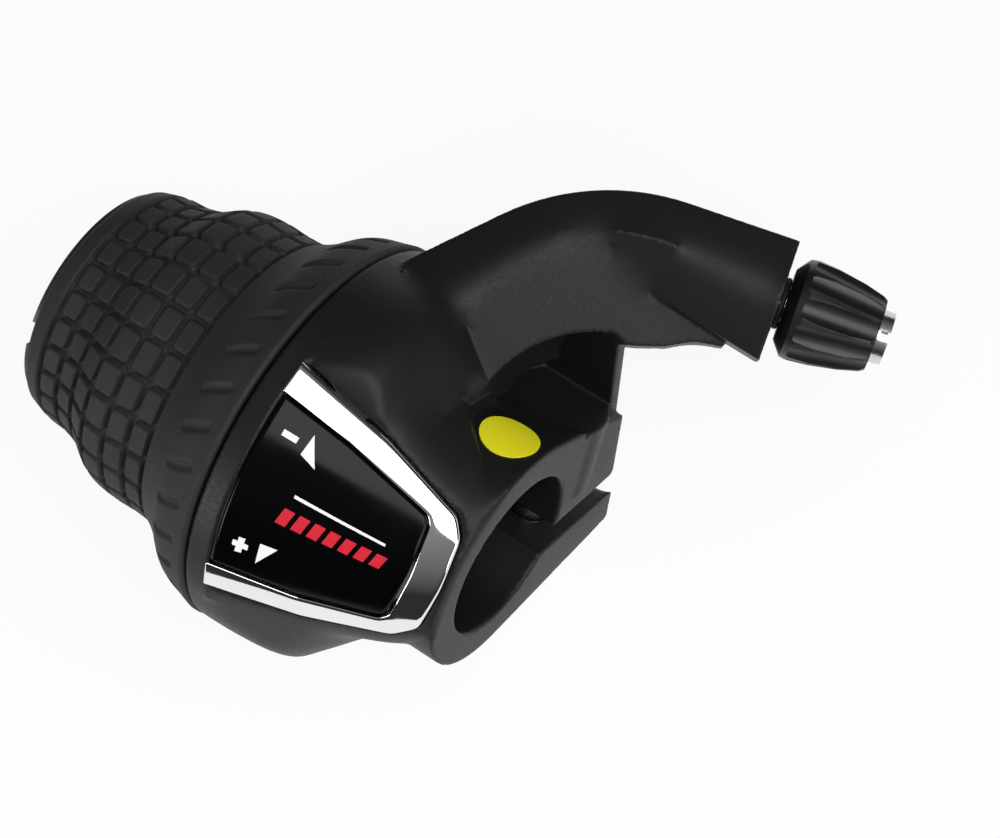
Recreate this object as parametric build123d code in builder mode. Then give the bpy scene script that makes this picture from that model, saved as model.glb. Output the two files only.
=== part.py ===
"""Friction twist grip shifter for the left end of a 22.2 mm handlebar.

X runs along the bar toward the middle of the handlebar, Y points forward and Z up. The origin is the
bore centre on the inboard end face of the clamp. All sizes are in millimetres."""

import os
from math import acos, atan2, cos, radians, sin, sqrt, tan

from build123d import *

os.makedirs("parts", exist_ok=True)

# Fits: running parts, pieces laid in a seat, and the clamp and the long sleeve on their bar
run_fit = 0.08
seat_fit = 0.05
clamp_fit = 0.05
sleeve_fit = 0.35
free_gap = 0.5
thread_fit = 0.05

# Length of a cut that runs clear through the body
reach = 60.0

# Bar, clamp ring and its slit, which opens 45 degrees down and forward
bar_d = 22.2
clamp_len = 12.0
clamp_root = 3.0
ring_wall = 4.55
slit_low = -6.2
slit_high = -2.3
upper_tangent_deg = 75.0
lower_tangent_deg = -80.0
upper_tip = (22.4, 9.4)
upper_heel = (24.9, slit_high)
lower_tip = (26.4, slit_low)
lower_heel = (27.4, -11.8)
ear_round = 0.8

# Clamp screw, M5 with a socket head below and a nut held in the upper ear
bolt_x = -5.9
bolt_r = 2.5
bolt_slack = 0.25
head_r, head_h, head_edge = 4.25, 5.0, 0.4
head_seat_t = -9.6
head_pocket_gap = 0.2
hex_socket_af, hex_socket_depth = 4.0, 2.6
washer_r, washer_h = 5.0, 0.9
nut_af, nut_h, nut_wall = 8.0, 4.0, 0.85
bolt_tip_t = 4.6
boss_r, boss_top_t = 6.2, 11.6
spot_gap, spot_h = 0.5, 2.5
bolt_spare = 1.0

# Drum cup: a short cylinder whose shoulder slopes down to the clamp ring
cup_x = -29.3
cup_r = 26.4
shoulder_x, shoulder_foot_x = -18.7, -8.6
shoulder_round, foot_round, foot_tuck = 5.0, 3.0, 0.8
sleeve_wall = 1.25
sleeve_proud = 0.7

# Cable arm, drawn on its own roof plane, which leans inboard off the cup's shoulder
roof_origin = (-20.0, 22.0, 14.5)
roof_x_dir = (0.9627, 0.0, -0.2707)
roof_z_dir = (0.2704, -0.0501, 0.9614)
arm_deg = 13.3
arm_w = 15.2
arm_h = 14.0
arm_axis_drop = 7.0
arm_end_p, arm_end_q = 32.6, 28.6
arm_corner_p, arm_corner_q = 6.8, 22.5
arm_bend_r = 30.0
arm_root_back, arm_root_lean, arm_root_w = 18.0, 1.6, 8.0
arm_waist_p, arm_waist_q = 19.1, 13.6
arm_hip_p, arm_hip_q = 6.0, 9.8
roof_out, roof_in, roof_drop = 5.6, 6.3, 3.0
gusset = ((14.0, 3.0), (22.6, 7.4), (25.6, 9.2), (28.2, 11.6), (31.5, 12.9), (31.5, 17.0), (14.0, 17.0))

# Saddle between arm, cup and upper ear, with a scoop around the clamp boss
saddle_z_dir = (0.4616, -0.1556, 0.873)
saddle_end_x = -1.2
front_top_y, front_top_z = 36.5, 14.8
front_low_y, front_low_z = 22.9, -9.0
front_foot_y, front_foot_z = 16.6, -18.8
saddle_back_y, saddle_back_z = 2.0, -4.0
saddle_start_x = -26.3
front_wall = 1.8
scoop_r = 11.6
scoop_x, scoop_down, scoop_lift = 0.3, 9.0, 1.5

# Web that runs from under the panel's forward side down to the clamp ring: at each place along the
# bar the forward and upward position of its ridge, its crown and its lower edge
web_sections = (
    (-1.0, (0.6, 16.2), (2.8, 15.7), (4.8, 14.9)),
    (-11.3, (2.9, 19.9), (8.2, 17.1), (12.7, 13.5)),
    (-19.0, (4.0, 25.0), (12.5, 22.0), (19.0, 17.0)),
)
web_lap = 4.0
web_root_z = 9.0

# Indicator panel: a cone about the bar axis with its outline drawn on a tilted plane
panel_x = -26.0
panel_proud = 0.6
panel_slope = 0.43
panel_mid_x = -14.0
panel_mid_deg = -25.0
panel_depth = 20.0
panel_root_r = 10.0
bezel_t = 1.6
lens_drop = 0.35
pedestal_edge = 0.6
pedestal_taper_deg = 20.0
pedestal_drop = 0.5
pedestal_end_x = -0.4
panel_end_x = 2.0
facet_deg = -68.0

# Grip tube, rubber cover and its field of raised pads
tube_wall = 1.42
tube_collar_lip = 0.8
tube_collar_lap = 2.2
tube_flange_t = 1.4
grip_lip, grip_end_wall = 2.9, 0.7
pad_rows = 26
pad_groove = 0.85
pad_height = 0.75
pad_start_deg = -2.5
pad_reach = (31.2, 28.1, 25.0, 21.5, 17.8, 14.4, 11.2)
pad_rise = (2.4, 2.7, 3.6, 5.7, 6.3, 6.25, 6.6)
grip_flare = ((8.2, 4.2), (5.2, 1.7), (1.7, 0.5))
rim_proud, rim_wall = 0.3, 2.3
notch_count, notch_w, notch_deep, notch_bite = 3, 3.4, 0.9, 2.0
notch_deg = -35.0

# Friction stack and cable drum inside the cup
spring_t, spring_rise = 0.6, 0.6
spring_slack = 0.4
plate_t, lining_t = 0.8, 1.0
plate_inset, spring_inset = 0.3, 1.3
plate_tab_w, plate_tab_bite = 4.0, 1.1
plate_tab_deg = -30.0
stack_gap = 0.05
drum_len, drum_inset = 8.4, 0.85
drum_r, drum_clear = 19.9, 0.5
groove_w, groove_wall = 2.4, 2.82
lug_count, lug_w, lug_len = 4, 5.0, 2.0
nipple_r, nipple_deep = 2.4, 1.6
thrust_t, ring_t, ring_bite = 0.5, 0.7, 0.45
ring_end = 0.5
ring_gap_w = 6.0
retainer_land = 1.12
retainer_gap = 0.3

# Barrel adjuster, M5 x 0.8, standing on the arm's end face
insert_r, insert_len = 4.0, 8.0
thread_r = 2.45
thread_in = 7.6
thread_lead = 0.4
knob_gap = 0.8
knob_profile = ((0, 4.5), (1.3, 6.2), (2.4, 6.4), (5.0, 6.2), (8.5, 5.6), (11.0, 4.9), (11.6, 4.5))
knob_flutes = 12
flute_r, flute_deep = 2.2, 0.4
barrel_r = 3.35
barrel_proud = 1.5
barrel_notches, barrel_notch_w, barrel_notch_deep = 4, 1.3, 1.2
casing_r, casing_depth = 2.55, 8.0
cable_r = 0.9
oring_r = 0.37

# Bent guide that leads the cable from the drum to the adjuster
guide_r = 1.5
guide_bend_r = 24.0

# Round label wrapped on the clamp ring
label_r, label_t = 3.8, 0.15
label_x, label_deg = -4.95, 50.5


def around(deg, r):
    """Y and Z of a point at radius r, its angle measured from up toward forward."""
    return r * sin(radians(deg)), r * cos(radians(deg))


def across_slit(point):
    """Y and Z of a point given along and across the clamp slit."""
    along, across = point
    return sqrt(0.5) * (along + across), sqrt(0.5) * (across - along)


def clamp_plane(x):
    """Plane across the bar whose first axis runs along the clamp slit."""
    return Plane(origin=(x, 0, 0), x_dir=(0, 1, -1), z_dir=(1, 0, 0))


def bolt_plane(t):
    """Plane across the clamp screw at height t along it."""
    return Plane(origin=(bolt_x, *across_slit((bolt_s, t))), x_dir=(1, 0, 0), z_dir=(0, 1, 1))


def panel_radius(x):
    """Radius of the indicator panel's cone at a place along the bar."""
    return panel_r - (x - panel_x) * panel_slope


bore_r = bar_d / 2 + clamp_fit
ring_r = bore_r + ring_wall
bolt_s = bore_r + nut_af / 2 + nut_wall
bolt_hole_r = bolt_r + bolt_slack
head_pocket_r = washer_r + head_pocket_gap
spot_r = boss_r + spot_gap
panel_r = cup_r + panel_proud
grip_rim_r = cup_r + rim_proud
tube_flange_r = grip_rim_r - rim_wall
upper_tangent = (
    ring_r * cos(radians(upper_tangent_deg)),
    ring_r * sin(radians(upper_tangent_deg)),
)
lower_tangent = (
    ring_r * cos(radians(lower_tangent_deg)),
    ring_r * sin(radians(lower_tangent_deg)),
)
roof_plane = Plane(origin=roof_origin, x_dir=roof_x_dir, z_dir=roof_z_dir)
arm_heel_p = arm_end_p + arm_w * sin(radians(arm_deg))
arm_heel_q = arm_end_q - arm_w * cos(radians(arm_deg))
arm_root_p = arm_corner_p - arm_root_back
arm_root_q = arm_corner_q - arm_root_back * arm_root_lean
bore_out_x = -clamp_len

sleeve_bore_r = bar_d / 2 + sleeve_fit
sleeve_r = sleeve_bore_r + sleeve_wall
tube_in_r = sleeve_r + run_fit
tube_out_r = tube_in_r + tube_wall
tube_collar_r = tube_out_r + tube_collar_lip
retainer_r = tube_in_r + retainer_land
groove_r = tube_in_r + groove_wall
cavity_r = drum_r + drum_clear
plate_r = drum_r - plate_inset
spring_r = drum_r - spring_inset
plate_tab_r = cavity_r + plate_tab_bite

flange_x = cup_x - free_gap
drum_far_x = cup_x + drum_inset
drum_near_x = drum_far_x + drum_len
groove_x = drum_far_x + drum_len / 2
lining_x = drum_near_x + stack_gap
plate_x = lining_x + lining_t
spring_x = plate_x + plate_t
floor_x = spring_x + spring_t + spring_rise
grip_end_x = flange_x - pad_reach[0] - grip_lip
grip_end_r = tube_collar_r + grip_end_wall
tube_collar_x = grip_end_x + tube_collar_lap
sleeve_end_x = grip_end_x - sleeve_proud
ring_groove_x = sleeve_end_x + ring_end
retainer_x = ring_groove_x + ring_t + thrust_t + stack_gap

arm_end_mid = ((arm_end_p + arm_heel_p) / 2, (arm_end_q + arm_heel_q) / 2, -arm_axis_drop)
arm_end_point = roof_plane.from_local_coords(Vector(*arm_end_mid))
adjuster_dir = (
    roof_plane.x_dir * cos(radians(arm_deg)) + roof_plane.y_dir * sin(radians(arm_deg))
)
adjuster_plane = Plane(origin=arm_end_point, x_dir=roof_plane.z_dir, z_dir=adjuster_dir)
adjuster_section = Plane(origin=arm_end_point, x_dir=adjuster_dir, z_dir=roof_plane.z_dir)
adjuster_axis = Axis(arm_end_point, adjuster_dir)
knob_len = knob_profile[-1][0]
barrel_end = knob_gap + knob_len + barrel_proud

pads = tuple((flange_x - back, tube_out_r + rise) for back, rise in zip(pad_reach, pad_rise))
flare = tuple((flange_x - back, grip_rim_r - drop) for back, drop in grip_flare)

slope = sqrt(1 + panel_slope**2)
mid_y, mid_z = around(panel_mid_deg, panel_radius(panel_mid_x))
out_y, out_z = around(panel_mid_deg, 1.0)
panel_plane = Plane(
    origin=(panel_mid_x, mid_y, mid_z),
    x_dir=(1 / slope, -panel_slope * out_y / slope, -panel_slope * out_z / slope),
    z_dir=(panel_slope / slope, out_y / slope, out_z / slope),
)
facet_y, facet_z = around(facet_deg, panel_r - pedestal_drop)
facet_plane = Plane(
    origin=(panel_x, facet_y, facet_z),
    x_dir=(0, facet_z, -facet_y),
    z_dir=(panel_slope * (panel_r - pedestal_drop), facet_y, facet_z),
)
bezel_outline = (
    (-17.0, 18.6),
    (2.3, 12.3),
    (13.0, 7.6),
    (14.4, 5.4),
    (14.6, -1.2),
    (14.2, -7.8),
    (11.6, -10.6),
    (0.8, -13.4),
    (-17.0, -14.6),
)
lens_outline = (
    (-17.0, 14.6),
    (-2.0, 10.7),
    (9.6, 6.7),
    (10.4, 5.6),
    (10.6, -1.0),
    (10.3, -7.4),
    (9.2, -8.6),
    (-0.8, -10.4),
    (-17.0, -10.6),
)

# The cable leaves the drum's groove on the tangent that meets the adjuster's axis
guide_meet = arm_end_point - adjuster_dir * ((arm_end_point.X - groove_x) / adjuster_dir.X)
leave = atan2(guide_meet.Y, guide_meet.Z) - acos(groove_r / sqrt(guide_meet.Y**2 + guide_meet.Z**2))
guide_dir = Vector(0, cos(leave), -sin(leave))
guide_from = Vector(groove_x, groove_r * sin(leave), groove_r * cos(leave))
guide_from += guide_dir * sqrt(cavity_r**2 - groove_r**2)
guide_to = arm_end_point - adjuster_dir * insert_len
guide_plane = Plane(origin=guide_from, z_dir=guide_dir)

ear_y, ear_z = across_slit(upper_tangent)
ear_plane = Plane(origin=(0, ear_y, ear_z), x_dir=(1, 0, 0), z_dir=(0, ear_y, ear_z))
label_y, label_z = around(label_deg, ring_r)
label_plane = Plane(origin=(label_x, label_y, label_z), x_dir=(1, 0, 0), z_dir=(0, label_y, label_z))

# Housing: clamp, cup, sleeve, saddle and arm moulded in one
with BuildPart() as clamp:
    with BuildSketch(clamp_plane(bore_out_x - clamp_root)) as clamp_outline:
        Circle(ring_r)
        with BuildLine():
            Polyline((0, 0), upper_tangent, upper_tip, upper_heel, (0, slit_high), close=True)
        make_face()
        with BuildLine():
            Polyline((0, slit_low), lower_tip, lower_heel, lower_tangent, close=True)
        make_face()
        for corner in (upper_tip, upper_heel, lower_tip, lower_heel):
            fillet(clamp_outline.vertices().sort_by_distance(corner)[0], ear_round)
    extrude(amount=clamp_len + clamp_root)

with BuildPart() as arm:
    with BuildSketch(roof_plane.offset(-arm_h)) as arm_plan:
        with BuildLine():
            Polyline(
                (arm_root_p, arm_root_q - arm_root_w),
                (arm_root_p, arm_root_q),
                (arm_corner_p, arm_corner_q),
                (arm_end_p, arm_end_q),
                (arm_heel_p, arm_heel_q),
                (arm_waist_p, arm_waist_q),
                (arm_hip_p, arm_hip_q),
                (0.0, arm_root_q - arm_root_w),
                close=True,
            )
        make_face()
        bend = arm_plan.vertices().sort_by_distance((arm_corner_p, arm_corner_q))[0]
        fillet(bend, arm_bend_r)
    extrude(amount=arm_h)
    roof = arm.faces().sort_by(Axis(roof_origin, roof_z_dir))[-1]
    places = [roof_plane.to_local_coords(e.center()) for e in roof.edges()]
    outside = [
        e for e, c in zip(roof.edges(), places) if c.Y > arm_corner_q or (c.Y > 0 and c.X < arm_corner_p)
    ]
    chamfer(outside, roof_out, roof_drop, reference=roof)
    for rise, step in ((-roof_drop, 0), (roof_drop, 2 * roof_in)):
        with BuildSketch(roof_plane.offset(rise)):
            with BuildLine():
                Polyline(
                    (reach, arm_heel_q + step),
                    (arm_waist_p, arm_waist_q + step),
                    (arm_hip_p, arm_hip_q + step),
                    (arm_hip_p, -reach),
                    (reach, -reach),
                    close=True,
                )
            make_face()
    loft(ruled=True, mode=Mode.SUBTRACT)

with BuildPart() as saddle:
    with BuildSketch(Plane.YZ.offset(saddle_start_x)):
        with BuildLine():
            Polyline(
                (saddle_back_y, front_top_z),
                (front_top_y, front_top_z),
                (front_low_y, front_low_z),
                (front_foot_y, front_foot_z),
                (saddle_back_y, saddle_back_z),
                close=True,
            )
        make_face()
    extrude(amount=saddle_end_x - saddle_start_x)
    with BuildSketch(roof_plane.offset(-arm_h)):
        with BuildLine():
            Polyline(*gusset, close=True)
        make_face()
    extrude(amount=arm_h)
    with BuildSketch(Plane(origin=roof_origin, z_dir=saddle_z_dir), roof_plane):
        Rectangle(2 * reach, 2 * reach)
    extrude(amount=reach, mode=Mode.SUBTRACT)
    with BuildSketch(roof_plane.offset(-reach)):
        with BuildLine():
            Polyline(
                (arm_root_p + roof_out, arm_root_q),
                (arm_corner_p + roof_out, arm_corner_q),
                (arm_corner_p + reach, arm_corner_q + reach),
                (arm_root_p, arm_corner_q + reach),
                close=True,
            )
        make_face()
    extrude(amount=2 * reach, mode=Mode.SUBTRACT)

with BuildPart() as scoop:
    scoop_mid = ear_plane.from_local_coords(Vector(scoop_x, scoop_down, scoop_lift))
    with BuildSketch(Plane(origin=scoop_mid, z_dir=-ear_plane.y_dir)):
        Circle(scoop_r)
    extrude(amount=reach)
    with Locations(scoop_mid):
        Sphere(scoop_r)
    front_dir = (0, front_top_z - front_low_z, front_low_y - front_top_y)
    front_plane = Plane(origin=(0, front_low_y, front_low_z), z_dir=front_dir)
    with BuildSketch(front_plane.offset(-front_wall)):
        Rectangle(2 * reach, 2 * reach)
    extrude(amount=reach, mode=Mode.SUBTRACT)

with BuildPart() as web:
    for web_x, ridge, crown, edge in web_sections:
        with BuildSketch(Plane.YZ.offset(web_x)):
            with BuildLine():
                Polyline(
                    (ridge[0] - web_lap, web_root_z),
                    (ridge[0] - web_lap, ridge[1]),
                    ridge,
                    crown,
                    edge,
                    (edge[0], web_root_z),
                    close=True,
                )
            make_face()
    loft(ruled=True)

panel_back = panel_plane.offset(-panel_depth)
pedestal_flare = panel_depth * tan(radians(pedestal_taper_deg))
with BuildPart() as pedestal:
    with BuildSketch(panel_back):
        with BuildLine():
            Polyline(*bezel_outline, close=True)
        make_face()
        offset(amount=pedestal_edge + pedestal_flare, kind=Kind.INTERSECTION)
    extrude(amount=panel_depth, taper=pedestal_taper_deg)
    with BuildSketch(Plane.XZ):
        with BuildLine():
            Polyline(
                (panel_x, panel_r - pedestal_drop),
                (pedestal_end_x, panel_radius(pedestal_end_x) - pedestal_drop),
                (pedestal_end_x, panel_root_r),
                (panel_x, panel_root_r),
                close=True,
            )
        make_face()
    revolve(axis=Axis.X, mode=Mode.INTERSECT)

with BuildPart() as panel_room:
    with BuildSketch(panel_back):
        with BuildLine():
            Polyline(*bezel_outline, close=True)
        make_face()
        offset(amount=seat_fit, kind=Kind.INTERSECTION)
    extrude(amount=reach)
    with BuildSketch(Plane.XZ):
        with BuildLine():
            Polyline(
                (panel_x, panel_r - bezel_t),
                (panel_end_x, panel_radius(panel_end_x) - bezel_t),
                (panel_end_x, reach),
                (panel_x, reach),
                close=True,
            )
        make_face()
    revolve(axis=Axis.X, mode=Mode.INTERSECT)

with BuildPart() as panel_face:
    with BuildSketch(panel_back):
        with BuildLine():
            Polyline(*bezel_outline, close=True)
        make_face()
        offset(amount=pedestal_edge, kind=Kind.INTERSECTION)
    extrude(amount=reach)
    with BuildSketch(Plane.XZ):
        with BuildLine():
            Polyline(
                (panel_x, panel_r - pedestal_drop),
                (panel_end_x, panel_radius(panel_end_x) - pedestal_drop),
                (panel_end_x, reach),
                (panel_x, reach),
                close=True,
            )
        make_face()
    revolve(axis=Axis.X, mode=Mode.INTERSECT)

with BuildPart() as cup:
    with BuildSketch(Plane.XZ) as cup_section:
        with BuildLine():
            Polyline(
                (cup_x, 0),
                (cup_x, cup_r),
                (shoulder_x, cup_r),
                (shoulder_foot_x, ring_r),
                (shoulder_foot_x + clamp_root, ring_r - foot_tuck),
                (shoulder_foot_x + clamp_root, 0),
                close=True,
            )
        make_face()
        fillet(cup_section.vertices().sort_by_distance((shoulder_x, cup_r))[0], shoulder_round)
        fillet(cup_section.vertices().sort_by_distance((shoulder_foot_x, ring_r))[0], foot_round)
    revolve(axis=Axis.X)

with BuildPart() as sleeve:
    with BuildSketch(Plane.XZ):
        with BuildLine():
            Polyline(
                (bore_out_x, sleeve_bore_r),
                (sleeve_end_x, sleeve_bore_r),
                (sleeve_end_x, sleeve_r),
                (ring_groove_x, sleeve_r),
                (ring_groove_x, sleeve_r - ring_bite),
                (ring_groove_x + ring_t, sleeve_r - ring_bite),
                (ring_groove_x + ring_t, sleeve_r),
                (bore_out_x, sleeve_r),
                close=True,
            )
        make_face()
    revolve(axis=Axis.X)

with BuildPart() as hollow:
    with BuildSketch(Plane.XZ):
        with BuildLine():
            Polyline(
                (cup_x - reach, 0),
                (reach, 0),
                (reach, bore_r),
                (bore_out_x, bore_r),
                (bore_out_x, sleeve_bore_r),
                (floor_x, sleeve_bore_r),
                (floor_x, cavity_r),
                (cup_x, cavity_r),
                (cup_x, reach),
                (cup_x - reach, reach),
                close=True,
            )
        make_face()
    revolve(axis=Axis.X)

with BuildPart() as housing:
    add(arm.part)
    add(saddle.part)
    add(cup.part)
    with BuildSketch(facet_plane):
        Rectangle(2 * reach, 2 * reach)
    extrude(amount=reach, mode=Mode.SUBTRACT)
    add(scoop.part, mode=Mode.SUBTRACT)
    add(pedestal.part)
    add(web.part)
    add(clamp.part)
    with BuildSketch(bolt_plane(0)):
        Circle(boss_r)
    extrude(amount=boss_top_t)
    add(hollow.part, mode=Mode.SUBTRACT)
    add(sleeve.part)
    add(panel_face.part, mode=Mode.SUBTRACT)
    add(panel_room.part, mode=Mode.SUBTRACT)
    with BuildSketch(clamp_plane(bore_out_x)):
        with Locations((reach / 2, (slit_low + slit_high) / 2)):
            Rectangle(reach, slit_high - slit_low)
    extrude(amount=reach, mode=Mode.SUBTRACT)
    with BuildSketch(bolt_plane(boss_top_t)):
        Circle(spot_r)
    extrude(amount=spot_h, mode=Mode.SUBTRACT)
    with BuildSketch(bolt_plane(head_seat_t)):
        Circle(bolt_hole_r)
    extrude(amount=bolt_tip_t + bolt_spare - head_seat_t, mode=Mode.SUBTRACT)
    with BuildSketch(bolt_plane(head_seat_t)):
        Circle(head_pocket_r)
    extrude(amount=-reach, mode=Mode.SUBTRACT)
    with BuildSketch(bolt_plane(slit_high)):
        RegularPolygon(nut_af / 2 + seat_fit, 6, major_radius=False)
    extrude(amount=nut_h, mode=Mode.SUBTRACT)
    with BuildSketch(adjuster_plane):
        Circle(insert_r)
    extrude(amount=-insert_len, mode=Mode.SUBTRACT)
    with BuildLine():
        FilletPolyline(guide_from, guide_meet, guide_to, radius=guide_bend_r)
    with BuildSketch(guide_plane):
        Circle(guide_r)
    sweep(mode=Mode.SUBTRACT)
    with BuildSketch(Plane.YZ.offset(spring_x)):
        with PolarLocations(0, 2, start_angle=plate_tab_deg):
            with Locations((plate_tab_r / 2, 0)):
                Rectangle(plate_tab_r + 2 * seat_fit, plate_tab_w + 2 * seat_fit)
        Circle(plate_r, mode=Mode.SUBTRACT)
    extrude(amount=-plate_t - 2 * seat_fit, mode=Mode.SUBTRACT)

with BuildPart() as bezel:
    with BuildSketch(panel_back):
        with BuildLine():
            Polyline(*bezel_outline, close=True)
        make_face()
        with BuildLine():
            Polyline(*lens_outline, close=True)
        make_face(mode=Mode.SUBTRACT)
    extrude(amount=reach)
    with BuildSketch(Plane.XZ):
        with BuildLine():
            Polyline(
                (panel_x, panel_r - bezel_t),
                (panel_end_x, panel_radius(panel_end_x) - bezel_t),
                (panel_end_x, panel_radius(panel_end_x)),
                (panel_x, panel_r),
                close=True,
            )
        make_face()
    revolve(axis=Axis.X, mode=Mode.INTERSECT)

with BuildPart() as lens:
    with BuildSketch(panel_back):
        with BuildLine():
            Polyline(*lens_outline, close=True)
        make_face()
        offset(amount=-seat_fit, kind=Kind.INTERSECTION)
    extrude(amount=reach)
    with BuildSketch(Plane.XZ):
        with BuildLine():
            Polyline(
                (panel_x, panel_r - bezel_t),
                (panel_end_x, panel_radius(panel_end_x) - bezel_t),
                (panel_end_x, panel_radius(panel_end_x) - lens_drop),
                (panel_x, panel_r - lens_drop),
                close=True,
            )
        make_face()
    revolve(axis=Axis.X, mode=Mode.INTERSECT)

with BuildPart() as clamp_bolt:
    with BuildSketch(bolt_plane(head_seat_t - washer_h)):
        Circle(bolt_r)
    extrude(amount=bolt_tip_t - head_seat_t + washer_h)
    with BuildSketch(bolt_plane(head_seat_t - washer_h)):
        Circle(head_r)
    extrude(amount=-head_h)
    with BuildSketch(bolt_plane(head_seat_t - washer_h - head_h)):
        RegularPolygon(hex_socket_af / 2, 6, major_radius=False)
    extrude(amount=hex_socket_depth, mode=Mode.SUBTRACT)
    rims = clamp_bolt.edges().filter_by(GeomType.CIRCLE).group_by(SortBy.RADIUS)[-1]
    fillet(rims.sort_by(Axis((0, 0, 0), (0, 1, 1)))[0], head_edge)

with BuildPart() as clamp_washer:
    with BuildSketch(bolt_plane(head_seat_t - washer_h)):
        Circle(washer_r)
        Circle(bolt_hole_r, mode=Mode.SUBTRACT)
    extrude(amount=washer_h)

with BuildPart() as clamp_nut:
    with BuildSketch(bolt_plane(slit_high + seat_fit)):
        RegularPolygon(nut_af / 2, 6, major_radius=False)
        Circle(bolt_r, mode=Mode.SUBTRACT)
    extrude(amount=nut_h - seat_fit)

with BuildPart() as disc_spring:
    with BuildSketch(Plane.XZ):
        with BuildLine():
            Polyline(
                (floor_x, spring_r),
                (floor_x - spring_t, spring_r),
                (spring_x, sleeve_r + spring_slack),
                (spring_x + spring_t, sleeve_r + spring_slack),
                close=True,
            )
        make_face()
    revolve(axis=Axis.X)

with BuildPart() as friction_plate:
    with BuildSketch(Plane.YZ.offset(spring_x)):
        Circle(plate_r)
        with PolarLocations(0, 2, start_angle=plate_tab_deg):
            with Locations((plate_tab_r / 2, 0)):
                Rectangle(plate_tab_r, plate_tab_w)
        Circle(sleeve_r + run_fit, mode=Mode.SUBTRACT)
    extrude(amount=-plate_t)

with BuildPart() as friction_lining:
    with BuildSketch(Plane.YZ.offset(plate_x)):
        Circle(plate_r)
        Circle(sleeve_r + run_fit, mode=Mode.SUBTRACT)
    extrude(amount=-lining_t)

with BuildPart() as cable_drum:
    with BuildSketch(Plane.XZ):
        with BuildLine():
            Polyline(
                (drum_near_x, tube_in_r),
                (drum_near_x, drum_r),
                (groove_x + groove_w, drum_r),
                (groove_x + groove_w / 2, groove_r),
                (groove_x - groove_w / 2, groove_r),
                (groove_x - groove_w, drum_r),
                (drum_far_x, drum_r),
                (drum_far_x, tube_in_r),
                close=True,
            )
        make_face()
    revolve(axis=Axis.X)
    with BuildSketch(Plane.YZ.offset(drum_far_x)):
        with PolarLocations(0, lug_count):
            with Locations((tube_out_r / 2, 0)):
                Rectangle(tube_out_r + 2 * seat_fit, lug_w + 2 * seat_fit)
    extrude(amount=lug_len + seat_fit, mode=Mode.SUBTRACT)
    with BuildSketch(Plane.XY.offset(nipple_deep - groove_r)):
        with Locations((groove_x, 0)):
            Circle(nipple_r)
    extrude(amount=-reach, mode=Mode.SUBTRACT)

with BuildPart() as grip_tube:
    with BuildSketch(Plane.XZ):
        with BuildLine():
            Polyline(
                (drum_far_x, tube_in_r),
                (drum_far_x, tube_out_r),
                (flange_x, tube_out_r),
                (flange_x, tube_flange_r),
                (flange_x - tube_flange_t, tube_flange_r),
                (flange_x - tube_flange_t, tube_out_r),
                (tube_collar_x, tube_out_r),
                (tube_collar_x, tube_collar_r),
                (sleeve_end_x, tube_collar_r),
                (sleeve_end_x, retainer_r),
                (retainer_x, retainer_r),
                (retainer_x, tube_in_r),
                close=True,
            )
        make_face()
    revolve(axis=Axis.X)
    with BuildSketch(Plane.YZ.offset(drum_far_x)):
        with PolarLocations(0, lug_count):
            with Locations((tube_out_r / 2, 0)):
                Rectangle(tube_out_r, lug_w)
        Circle(tube_in_r, mode=Mode.SUBTRACT)
    extrude(amount=lug_len)
    with BuildSketch(Plane.YZ.offset(sleeve_end_x)):
        with PolarLocations(0, notch_count, start_angle=90.0 - notch_deg):
            with Locations((tube_collar_r, 0)):
                Rectangle(2 * notch_bite, notch_w)
    extrude(amount=notch_deep, mode=Mode.SUBTRACT)

with BuildPart() as thrust_washer:
    with BuildSketch(Plane.YZ.offset(retainer_x - stack_gap)):
        Circle(retainer_r - retainer_gap)
        Circle(sleeve_r + seat_fit, mode=Mode.SUBTRACT)
    extrude(amount=-thrust_t)

with BuildPart() as retaining_ring:
    with BuildSketch(Plane.YZ.offset(ring_groove_x + seat_fit)):
        Circle(retainer_r - retainer_gap)
        Circle(sleeve_r - ring_bite + seat_fit, mode=Mode.SUBTRACT)
        with Locations((0, -retainer_r)):
            Rectangle(ring_gap_w, retainer_r, mode=Mode.SUBTRACT)
    extrude(amount=ring_t - 2 * seat_fit)

with BuildPart() as furrows:
    with BuildSketch(Plane.YZ.offset(pads[0][0])):
        with PolarLocations(grip_rim_r, pad_rows, start_angle=90.0 - pad_start_deg):
            Rectangle(grip_rim_r, pad_groove)
    extrude(amount=pad_reach[0] - pad_reach[-1])
    with BuildSketch(Plane.XZ):
        with BuildLine():
            Polyline(
                *[(x, r - pad_height) for x, r in pads],
                (pads[-1][0], reach),
                (pads[0][0], reach),
                close=True,
            )
        make_face()
    revolve(axis=Axis.X, mode=Mode.INTERSECT)

with BuildPart() as rubber_grip:
    with BuildSketch(Plane.XZ):
        with BuildLine():
            Spline(pads[-1], *flare, (flange_x, grip_rim_r))
            Polyline(
                (flange_x, grip_rim_r),
                (flange_x, tube_flange_r),
                (flange_x - tube_flange_t, tube_flange_r),
                (flange_x - tube_flange_t, tube_out_r),
                (tube_collar_x, tube_out_r),
                (tube_collar_x, tube_collar_r),
                (grip_end_x, tube_collar_r),
                (grip_end_x, grip_end_r),
                *pads,
            )
        make_face()
    revolve(axis=Axis.X)
    with BuildSketch(Plane.XZ):
        for pad_edge in pads:
            with Locations(pad_edge):
                Rectangle(pad_groove, 2 * pad_height)
    revolve(axis=Axis.X, mode=Mode.SUBTRACT)
    add(furrows.part, mode=Mode.SUBTRACT)

with BuildPart() as cable_guide:
    with BuildLine():
        FilletPolyline(guide_from, guide_meet, guide_to, radius=guide_bend_r)
    with BuildSketch(guide_plane):
        Circle(guide_r)
        Circle(cable_r, mode=Mode.SUBTRACT)
    sweep()

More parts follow.
